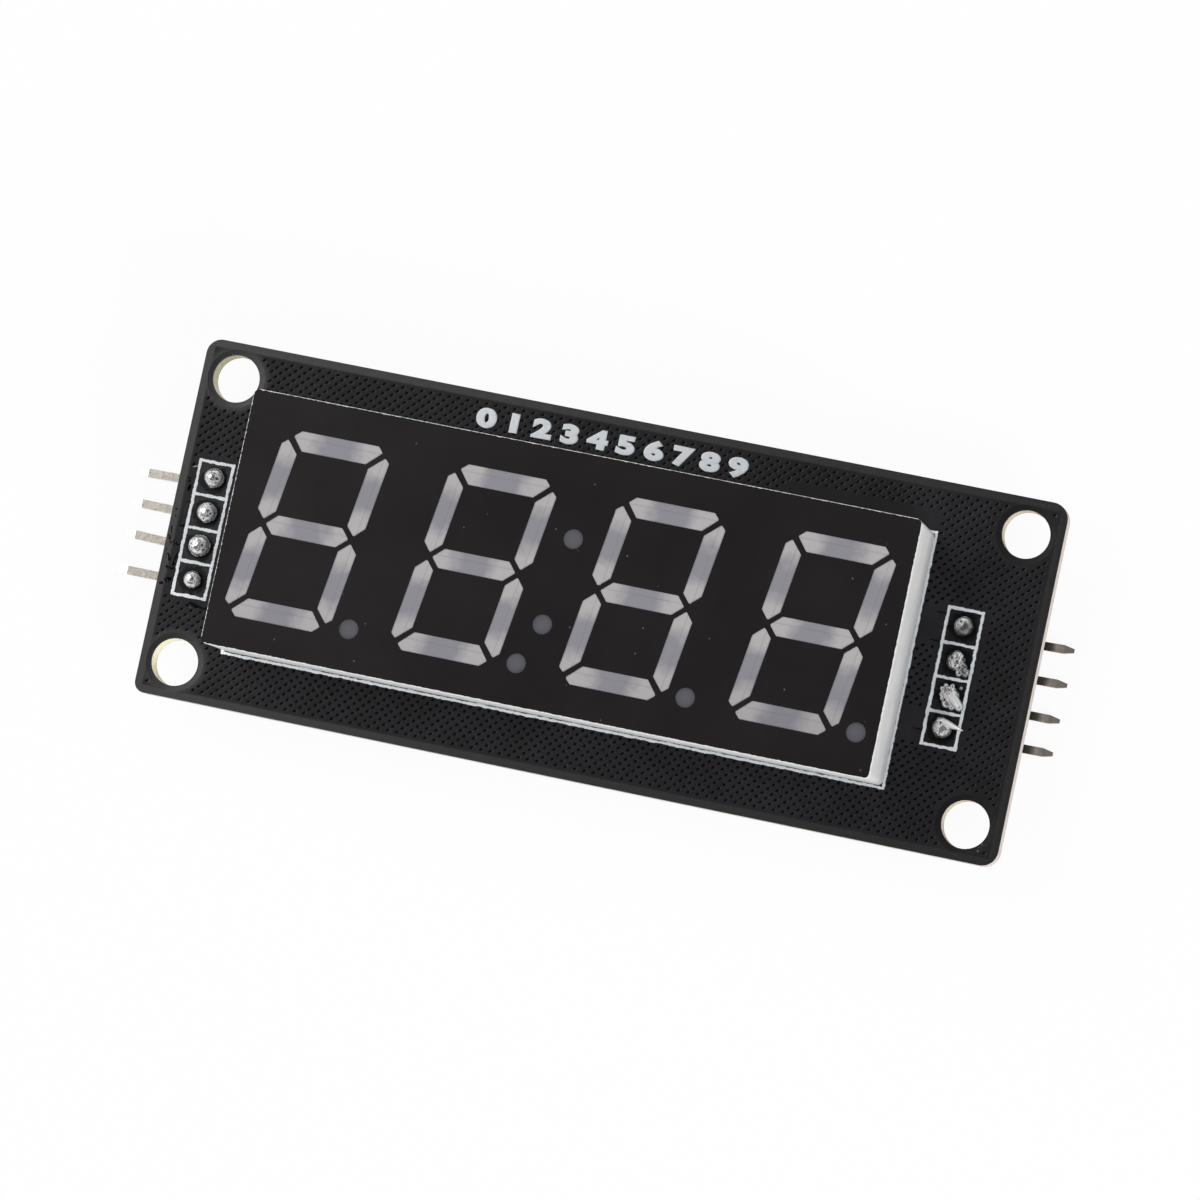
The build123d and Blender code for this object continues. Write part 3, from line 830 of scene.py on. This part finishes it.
openings = {
    "holeRadius": 2.2,
    "headerFront": (pitch / 2 + 0.13, 2 * pitch + 0.13),
    "traceGaps": (((25.22, 4.02), 0.36), ((25.27, 3.12), 0.36),
                  ((25.27, 1.93), 0.36), ((25.25, -4.65), 0.40)),
    "traceGapHalf": 0.035,
    "tracePlains": (((24.8, 3.0), (1.1, 1.45)), ((24.8, -4.3), (1.1, 1.2)), ((18.0, 10.6), (5.9, 0.85)),
                    ((-32.2, -1.1), (0.8, 4.9)), ((-31.0, 11.4), (1.95, 2.2))),
    "housingOverlap": 0.6,
    "headerRear": (1.45, 2 * pitch + 0.2),
    "pinRadius": 1.0,
    "driver": ((2.0, 0.28), (6.6, 3.9)),
    "leadRow": 4.75,
    "leadHalf": (6.3, 1.05),
    "chipHalf": (0.65, 1.45),
}


def headerBoxes(half):
    return [(centre, half) for centre in headerCentres.values()]


def frontOpenings():
    rings = [(centre, openings["holeRadius"]) for centre in holePlaces()]
    boxes = headerBoxes(openings["headerFront"])
    boxes += [(centre, (half, openings["traceGapHalf"])) for centre, half in openings["traceGaps"]]
    overlap = openings["housingOverlap"]
    underDisplay = (tuple(housingMiddle), (housingHalf.x - overlap, housingHalf.y - overlap))
    return boxes, rings, [underDisplay, *openings["tracePlains"]]


def rearOpenings():
    rings = [(centre, openings["holeRadius"]) for centre in holePlaces()]
    rings += [(place, openings["pinRadius"]) for place in displayPinPlaces()]
    boxes = headerBoxes(openings["headerRear"])
    x, y = openings["driver"][0]
    boxes += [((x, y + sign * openings["leadRow"]), openings["leadHalf"]) for sign in (-1, 1)]
    boxes += [(place, openings["chipHalf"]) for place in chipPlaces]
    return boxes, rings, [openings["driver"]]


makePour("front", *frontOpenings())
makePour("rear", *rearOpenings())


# Printed lines and numerals on the front

printing = {
    "lineWidth": 0.22,
    "thickness": 0.05,
    "layer": 0.004,          # crossing strokes are this much higher
    "step": 0.08,
    "waver": 0.055,
    "waverPerMm": 2.3,
    "displayLine": 0.20,
    "displayCentre": (-1.54, 0.13),
    "displayOutline": (50.54, 19.08),
    "dividerDrop": {"left": 0.0, "right": 0.05},
    "numerals": "0 1 2 3 4 5 6 7 8 9",
    "numeralHeight": 1.6,
    "numeralBase": 10.75,
    "numeralSpan": (-11.7, 9.1),
    "numeralThickness": 0.07,
    "numeralWeight": 0.026,
    "numeralBevel": 0.040,
    "numeralRough": 0.025,
    "numeralRoughPerMm": 4.1,
    "seed": 11,
}


def addLine(shape, start, end, top, dice, width):
    # one printed stroke with ragged sides
    along = Vector((end[0] - start[0], end[1] - start[1]))
    length = along.length
    along.normalize()
    across = Vector((-along.y, along.x))
    half = width / 2
    count = max(2, round((length + 2 * half) / printing["step"]))
    rows = []
    for i in range(count + 1):
        middle = Vector(start) + along * (-half + (length + 2 * half) * i / count)
        row = []
        for side in (-1, 1):
            wave = noise.noise(Vector((*(middle * printing["waverPerMm"]), side * 7.0)))
            reach = half + printing["waver"] * (wave + 0.5 * dice.uniform(-1, 1))
            point = middle + across * side * reach
            row.append((point.x, point.y))
        rows.append(row)
    verts = [[shape.verts.new((x * mm, y * mm, z * mm)) for (x, y), z in zip(
        (left, left, right, right), (boardTop, top, top, boardTop))] for left, right in rows]
    for a, b in zip(verts, verts[1:]):
        for i in range(4):
            j = (i + 1) % 4
            shape.faces.new((a[i], a[j], b[j], b[i]))
    shape.faces.new(verts[0])
    shape.faces.new(list(reversed(verts[-1])))


def addFrame(shape, centre, halfX, halfY, top, dice, width):
    x, y = centre
    corners = [(x + sx * halfX, y + sy * halfY) for sx, sy in ((-1, -1), (1, -1), (1, 1), (-1, 1))]
    for i in range(4):
        addLine(shape, corners[i], corners[(i + 1) % 4], top + printing["layer"] * (i % 2), dice, width)


def makePrintLines():
    dice = random.Random(printing["seed"])
    shape = bmesh.new()
    top = boardTop + printing["thickness"]
    halfX, halfY = (s / 2 for s in printing["displayOutline"])
    addFrame(shape, printing["displayCentre"], halfX, halfY, top, dice, printing["displayLine"])
    line = printing["lineWidth"]
    for side in headerCentres:
        places = headerPlaces(side)
        x = places[0][0]
        high = places[0][1] + pitch / 2
        low = places[-1][1] - pitch / 2
        addFrame(shape, (x, (high + low) / 2), pitch / 2, (high - low) / 2, top, dice, line)
        for place in places[:-1]:
            y = place[1] - pitch / 2 - printing["dividerDrop"][side]
            addLine(shape, (x - pitch / 2, y), (x + pitch / 2, y), top + 2 * printing["layer"], dice, line)
    bmesh.ops.recalc_face_normals(shape, faces=shape.faces)
    return pieceFromBmesh("front_print_lines", shape)


def makeNumerals():
    curve = bpy.data.curves.new("front_numerals", "FONT")
    curve.body = printing["numerals"]
    curve.offset = printing["numeralWeight"]
    curve.bevel_depth = printing["numeralBevel"]
    curve.bevel_resolution = 0
    curve.extrude = 0.5
    curve.resolution_u = 6
    holder = newObject("numeralText", curve)
    mesh = evaluatedMesh(holder)
    bpy.data.objects.remove(holder)
    xs = [v.co.x for v in mesh.vertices]
    ys = [v.co.y for v in mesh.vertices]
    low, high = printing["numeralSpan"]
    deep = max(v.co.z for v in mesh.vertices)
    wide = (high - low) / (max(xs) - min(xs))
    tall = printing["numeralHeight"] / (max(ys) - min(ys))
    noise.seed_set(printing["seed"])
    for v in mesh.vertices:
        x = low + (v.co.x - min(xs)) * wide
        y = printing["numeralBase"] + (v.co.y - min(ys)) * tall
        perMm = printing["numeralRoughPerMm"]
        jag = noise.noise_vector(Vector((x * perMm, y * perMm, 3.0))) * printing["numeralRough"]
        z = boardTop + printing["numeralThickness"] * (v.co.z / deep + 1) / 2
        v.co = Vector((x + jag.x, y + jag.y, z)) * mm
    mesh.name = "front_numerals"
    return newObject("front_numerals", mesh)


finishPiece(makePrintLines(), slotFinishes["print_white"], ["front_print"])
finishPiece(makeNumerals(), slotFinishes["print_white"])
print("stage: printed lines and numerals")


# Solder on the header pins: each joint is a few balls grown into one another

blobs = {
    "grain": 0.03,           # size of the remeshing cells
    "smoothing": 4,
    "footSink": 0.03,
    "wavesPerMm": (2.1, 6.3, 16.0),
    "fineRelief": 0.006,
    "craterDepth": 0.42,     # of its radius
    "tearSteps": 26,
    "tearTaper": 1.3,
    "pinEndHeight": 0.035,
    "pinEndCentre": (0.02, 0.08),
    "paintedHighlightShare": 0.8,
    # lobes and drops: x and y from the pin, height, radius; craters: x, y, radius; tear: root, tip, radii;
    # pinEnd: half the side of the square that shows through; gloom: how much painted shade darkens the lower
    # right
    "joints": {
        ("left", 1): {
            "lobes": ((0.07, 0.10, 0.16, 0.79),), "pinEnd": 0.24, "lump": 0.03,
            "craters": ((0.18, 0.12, 0.10), (0.42, 0.05, 0.16), (0.40, -0.25, 0.09), (-0.1, 0.45, 0.07))},
        ("left", 2): {
            "lobes": ((0.09, 0.02, 0.16, 0.80),), "pinEnd": 0.22, "lump": 0.03,
            "craters": ((0.30, 0.12, 0.12), (0.50, -0.05, 0.12), (0.05, -0.50, 0.10), (0.35, -0.22, 0.09))},
        ("left", 3): {
            "lobes": ((0.05, 0.03, 0.12, 0.86), (0.62, 0.0, 0.28, 0.24)), "lump": 0.05,
            "craters": ((0.42, 0.06, 0.16), (0.55, -0.25, 0.12), (-0.25, 0.42, 0.08), (-0.5, 0.05, 0.08),
                        (-0.35, -0.25, 0.07), (0.0, 0.62, 0.07), (0.12, -0.1, 0.06))},
        ("left", 4): {
            "lobes": ((0.08, -0.02, 0.14, 0.70),), "pinEnd": 0.26, "lump": 0.02,
            "craters": ((0.22, 0.05, 0.10), (0.02, -0.3, 0.07))},
        ("right", 1): {
            "lobes": ((0.08, 0.05, 0.16, 0.76),), "gloom": 0.75, "lump": 0.025,
            "craters": ((-0.11, 0.33, 0.12), (0.05, -0.16, 0.10), (-0.3, 0.05, 0.06))},
        ("right", 2): {
            "lobes": ((0.05, 0.0, 0.0, 0.72), (0.08, 0.28, 0.42, 0.50), (-0.22, 0.10, 0.50, 0.26),
                      (0.62, -0.35, 0.34, 0.36), (0.84, -0.74, 0.24, 0.36), (0.46, -0.84, 0.22, 0.28)),
            "craters": ((0.20, -0.05, 0.14), (-0.24, 0.14, 0.14), (0.45, -0.45, 0.12), (0.68, -0.50, 0.10),
                        (0.1, -0.35, 0.10)), "lump": 0.06},
        ("right", 3): {
            "lobes": ((0.08, -0.05, 0.0, 0.74), (-0.28, 0.62, 0.34, 0.20), (-0.52, 0.34, 0.34, 0.19),
                      (-0.42, 0.0, 0.45, 0.22), (-0.05, 0.38, 0.55, 0.26), (0.18, 0.62, 0.34, 0.20),
                      (0.10, 0.10, 0.62, 0.24), (-0.05, -0.62, 0.30, 0.36), (0.45, -0.78, 0.2, 0.26),
                      (-0.34, -0.34, 0.36, 0.20)),
            "craters": ((-0.25, 0.28, 0.12), (0.10, 0.35, 0.10), (-0.2, -0.45, 0.12), (0.12, -0.7, 0.10)),
            "tear": ((0.16, 0.02, 0.30), (1.02, -0.74, 0.64), (0.42, 0.31)),
            "drops": ((0.80, 0.68, 0.14, 0.16),), "lump": 0.06},
        ("right", 4): {
            "lobes": ((0.06, 0.08, 0.16, 0.77), (-0.18, 0.50, 0.40, 0.34)), "lump": 0.03,
            "craters": ((-0.05, 0.42, 0.13), (0.0, -0.35, 0.08)),
            "tear": ((-0.02, 0.52, 0.46), (1.73, 0.13, 1.26), (0.34, 0.04))},
    },
}


def clamped(value):
    return max(0.0, min(1.0, value))


def tearRadius(joint, share):
    thick, thin = joint["tear"][2]
    return thick + (thin - thick) * share ** blobs["tearTaper"]


def jointBalls(joint):
    balls = [*joint["lobes"], *joint.get("drops", ())]
    if "tear" in joint:
        root, tip = (Vector(end) for end in joint["tear"][:2])
        for i in range(blobs["tearSteps"] + 1):
            share = i / blobs["tearSteps"]
            balls.append((*root.lerp(tip, share), tearRadius(joint, share)))
    return balls


def onTear(joint, place):
    # 1 on the drawn-out part of a joint, 0 away from it
    if "tear" not in joint:
        return 0.0
    root, tip = (Vector(end) for end in joint["tear"][:2])
    drawn = tip - root
    share = clamped((place - root).dot(drawn) / drawn.length_squared)
    away = (place - root.lerp(tip, share)).length
    return clamped((tearRadius(joint, share) * 1.22 + 0.03 - away) * 12) * min(1.0, share * 4 + 0.15)


def growBlob(joint):
    # grown at a thousand times its size, where the remeshing is exact
    balls = bmesh.new()
    for x, y, z, radius in jointBalls(joint):
        bmesh.ops.create_icosphere(balls, subdivisions=3, radius=radius, matrix=Matrix.Translation((x, y, z)))
    rough = pieceFromBmesh("roughBlob", balls)
    remesh = rough.modifiers.new("grow", "REMESH")
    remesh.mode = "VOXEL"
    remesh.voxel_size = blobs["grain"]
    soften = rough.modifiers.new("soften", "SMOOTH")
    soften.factor = 0.5
    soften.iterations = blobs["smoothing"]
    mesh = evaluatedMesh(rough)
    bpy.data.objects.remove(rough)
    return mesh


def reliefAt(joint, place, normal, seed):
    # how far the surface moves outwards there, and how dark it is: darker at the foot, in the craters and in
    # specks, painted shade on the right side and the lower right, and below zero a painted highlight where
    # drawn out
    broad, middling, fine = (noise.noise(place * perMm + seed) for perMm in blobs["wavesPerMm"])
    drawn = onTear(joint, place)
    move = (joint["lump"] * (broad + 0.4 * middling) + blobs["fineRelief"] * fine) * (1 - 0.85 * drawn)
    dark = 0.0
    for x, y, radius in joint["craters"]:
        away = math.hypot(place.x - x, place.y - y) / radius
        if away < 2.2 and normal.z > 0.1:
            move -= blobs["craterDepth"] * radius * math.exp(-2.2 * away * away)
            dark = max(dark, min(1.0, 1.25 * math.exp(-1.6 * away * away)))
    if joint.get("pinEnd") and normal.z > 0.5:
        x, y = blobs["pinEndCentre"]
        reach = max(abs(place.x - x), abs(place.y - y)) / joint["pinEnd"]
        move += blobs["pinEndHeight"] * clamped((1.15 - reach) * 5)
    foot = clamped((0.30 - place.z) / 0.22)
    speckle = clamped((noise.noise(place * 6.0 - seed) - 0.18) * 6)
    # painted shade: the right side and the lower right of each joint are darkened, and the specks weigh more
    # on the right side
    rightSide = clamped((place.x - 0.25) * 2.2)
    gloom = joint.get("gloom", 0.0) * clamped((place.x - place.y) * 1.4 + 0.7)
    worn = max(dark, foot, speckle * (0.35 + 0.6 * rightSide), rightSide * 0.5, gloom)
    # painted highlight: the drawn-out part is whitened, below zero in the attribute
    paintedHighlight = drawn * (1 - dark)
    return move, worn * (1 - paintedHighlight) - paintedHighlight * blobs["paintedHighlightShare"]


def makeBlob(side, number):
    joint = blobs["joints"][(side, number)]
    x, y = headerPlaces(side)[number - 1]
    mesh = growBlob(joint)
    dull = mesh.attributes.new("dull", "FLOAT", "POINT")
    seed = Vector((x * 1.7, y * 2.3, number * 3.1))
    normals = [v.normal.copy() for v in mesh.vertices]
    for v, normal in zip(mesh.vertices, normals):
        move, dull.data[v.index].value = reliefAt(joint, v.co.copy(), normal, seed)
        v.co += normal * move
    for v in mesh.vertices:
        lifted = Vector((v.co.x, v.co.y, max(v.co.z, -blobs["footSink"])))
        v.co = (Vector((x, y, boardTop)) + lifted) * mm
    for face in mesh.polygons:
        face.use_smooth = True
    mesh.name = f"{side}_solder_blob_{number}"
    return newObject(mesh.name, mesh)


for side, number in blobs["joints"]:
    finishPiece(makeBlob(side, number), solderSkin, [f"{side}_header_solder_{number}"])
print("stage: solder blobs")


# Milky resin in the wells, with a map that follows each bar

segments = {
    "digitPitch": 12.7,
    "digitsCentre": (-1.5, 0.16),
    "slant": math.tan(math.radians(8.0)),
    "crossBar": (3.3, 0.75),      # half length and half width
    "uprightBar": (3.1, 0.70),
    "rowLevel": 6.39,
    "columnReach": 3.41,
    "columnLevel": 3.40,
    "pointOffset": (4.6, -6.4),
    "colonOffset": 3.26,
    "dotRadius": 0.73,
}


def segmentPlaces():
    middleX, middleY = segments["digitsCentre"]
    bars, dots = [], []
    for i in range(4):
        cx = middleX + (i - 1.5) * segments["digitPitch"]
        for row in (-1, 0, 1):
            bars.append((cx, middleY, 0.0, row * segments["rowLevel"], True))
        reach, level = segments["columnReach"], segments["columnLevel"]
        bars += [(cx, middleY, sx * reach, sy * level, False) for sx in (-1, 1) for sy in (-1, 1)]
        px, py = segments["pointOffset"]
        dots.append((cx + px, middleY + py))
    lean = segments["slant"] * segments["colonOffset"]
    for sign in (-1, 1):
        dots.append((middleX + sign * lean, middleY + sign * segments["colonOffset"]))
    return bars, dots


def makeResin():
    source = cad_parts["display_light_casting"]
    shape = bmesh.new()
    shape.from_mesh(source.data)
    bmesh.ops.remove_doubles(shape, verts=shape.verts, dist=0.0005 * mm)
    layer = shape.loops.layers.uv.get("segmentMap") or shape.loops.layers.uv.new("segmentMap")
    bars, dots = segmentPlaces()
    crossLong, crossWide = segments["crossBar"]
    upLong, upWide = segments["uprightBar"]
    radius = segments["dotRadius"]

    def local(bar, x, y):
        v = y - bar[1]
        u = x - bar[0] - segments["slant"] * v
        if bar[4]:
            return (u - bar[2]) / crossLong, (v - bar[3]) / crossWide
        return (v - bar[3]) / upLong, (u - bar[2]) / upWide

    for face in shape.faces:
        middle = face.calc_center_median() / mm
        dot = min(dots, key=lambda d: math.hypot(middle.x - d[0], middle.y - d[1]))
        isDot = math.hypot(middle.x - dot[0], middle.y - dot[1]) < radius * 1.02
        bar = min(bars, key=lambda b: max(abs(c) for c in local(b, middle.x, middle.y)))
        for loop in face.loops:
            x, y = loop.vert.co.x / mm, loop.vert.co.y / mm
            if isDot:
                loop[layer].uv = ((x - dot[0]) / radius + dotShift, (y - dot[1]) / radius)
            else:
                loop[layer].uv = local(bar, x, y)
    return pieceFromBmesh("display_milky_resin", shape)


finishPiece(makeResin(), slotFinishes["light_casting"], ["display_light_casting"])
print("stage: resin")


# Floor, light and camera

stageSet = {
    "floorSize": 4.0,
    "floorLevel": min(cadBox[0].z, 0),
    "floorGlow": 0.94,
    "worldForDiffuse": 0.38,
    "ceiling": 0.20,
    "keyPower": 2.0,
    "keyPlace": (-0.40, 0.15, 0.46),
    "keySize": 0.50,
    "fillPower": 3.5,
    "fillPlace": (0.50, -0.40, 0.42),
    "fillSize": 0.30,
    "lens": 207.194,
    "cameraPlace": (0.096646, -0.031667, 0.499494),
    "cameraTurn": (5.8, 9.963, 12.236),
}


def seenByEye(tree):
    path = addNode(tree, "ShaderNodeLightPath").outputs
    both = plus(tree, path["Is Camera Ray"], path["Is Glossy Ray"])
    return plus(tree, both, path["Is Transmission Ray"], clamp=True)


def makeFloor():
    shape = bmesh.new()
    bmesh.ops.create_grid(shape, x_segments=1, y_segments=1, size=stageSet["floorSize"] / 2)
    floor = pieceFromBmesh("studio_floor", shape)
    floor.data.transform(Matrix.Translation((0, 0, stageSet["floorLevel"])))
    material, tree, shader = startMaterial("floorFinish", {
        "Base Color": (0.9, 0.9, 0.9, 1), "Roughness": 0.9, "Specular IOR Level": 0.0})
    glow = addNode(tree, "ShaderNodeEmission", {"Color": (1, 1, 1, 1), "Strength": 1.0})
    factor = times(tree, seenByEye(tree), stageSet["floorGlow"])
    mixed = addNode(tree, "ShaderNodeMixShader", {0: factor, 1: shader.outputs[0], 2: glow.outputs[0]})
    tree.links.new(mixed.outputs[0], tree.nodes["Material Output"].inputs["Surface"])
    floor.data.materials.append(material)


def makeWorld():
    world = bpy.data.worlds.new("studio")
    world.use_nodes = True
    tree = world.node_tree
    tree.nodes.clear()
    # white all round at the height of the backdrop, and a dim ceiling over it
    way = addNode(tree, "ShaderNodeTexCoord").outputs["Generated"]
    rise = addNode(tree, "ShaderNodeSeparateXYZ", {"Vector": way}).outputs["Z"]
    seen = remap(tree, rise, 0.35, 0.75, 1.0, stageSet["ceiling"])
    lit, white = (
        addNode(tree, "ShaderNodeBackground", {"Color": (1, 1, 1, 1), "Strength": strength}).outputs[0]
        for strength in (stageSet["worldForDiffuse"], seen))
    mixed = addNode(tree, "ShaderNodeMixShader", {0: seenByEye(tree), 1: lit, 2: white})
    end = addNode(tree, "ShaderNodeOutputWorld")
    tree.links.new(mixed.outputs[0], end.inputs["Surface"])
    bpy.context.scene.world = world


def addLamp(name, place, size, power, mirrored):
    light = bpy.data.lights.new(name, "AREA")
    light.shape = "SQUARE"
    light.size = size
    light.energy = power
    lamp = newObject(name, light)
    lamp.location = place
    lamp.visible_glossy = mirrored
    lamp.rotation_euler = (-Vector(place)).to_track_quat("-Z", "Y").to_euler()


def addCamera():
    view = bpy.data.cameras.new("photoView")
    view.sensor_width = 36.0
    view.lens = stageSet["lens"]
    view.clip_start = 0.01
    view.clip_end = 20.0
    camera = newObject("photoView", view)
    camera.location = stageSet["cameraPlace"]
    camera.rotation_euler = [math.radians(a) for a in stageSet["cameraTurn"]]
    bpy.context.scene.camera = camera


makeFloor()
makeWorld()
addLamp("keyLamp", stageSet["keyPlace"], stageSet["keySize"], stageSet["keyPower"], True)
addLamp("fillLamp", stageSet["fillPlace"], stageSet["fillSize"], stageSet["fillPower"], False)
addCamera()
bpy.context.scene.view_settings.view_transform = "Standard"
print("stage: floor, light and camera")
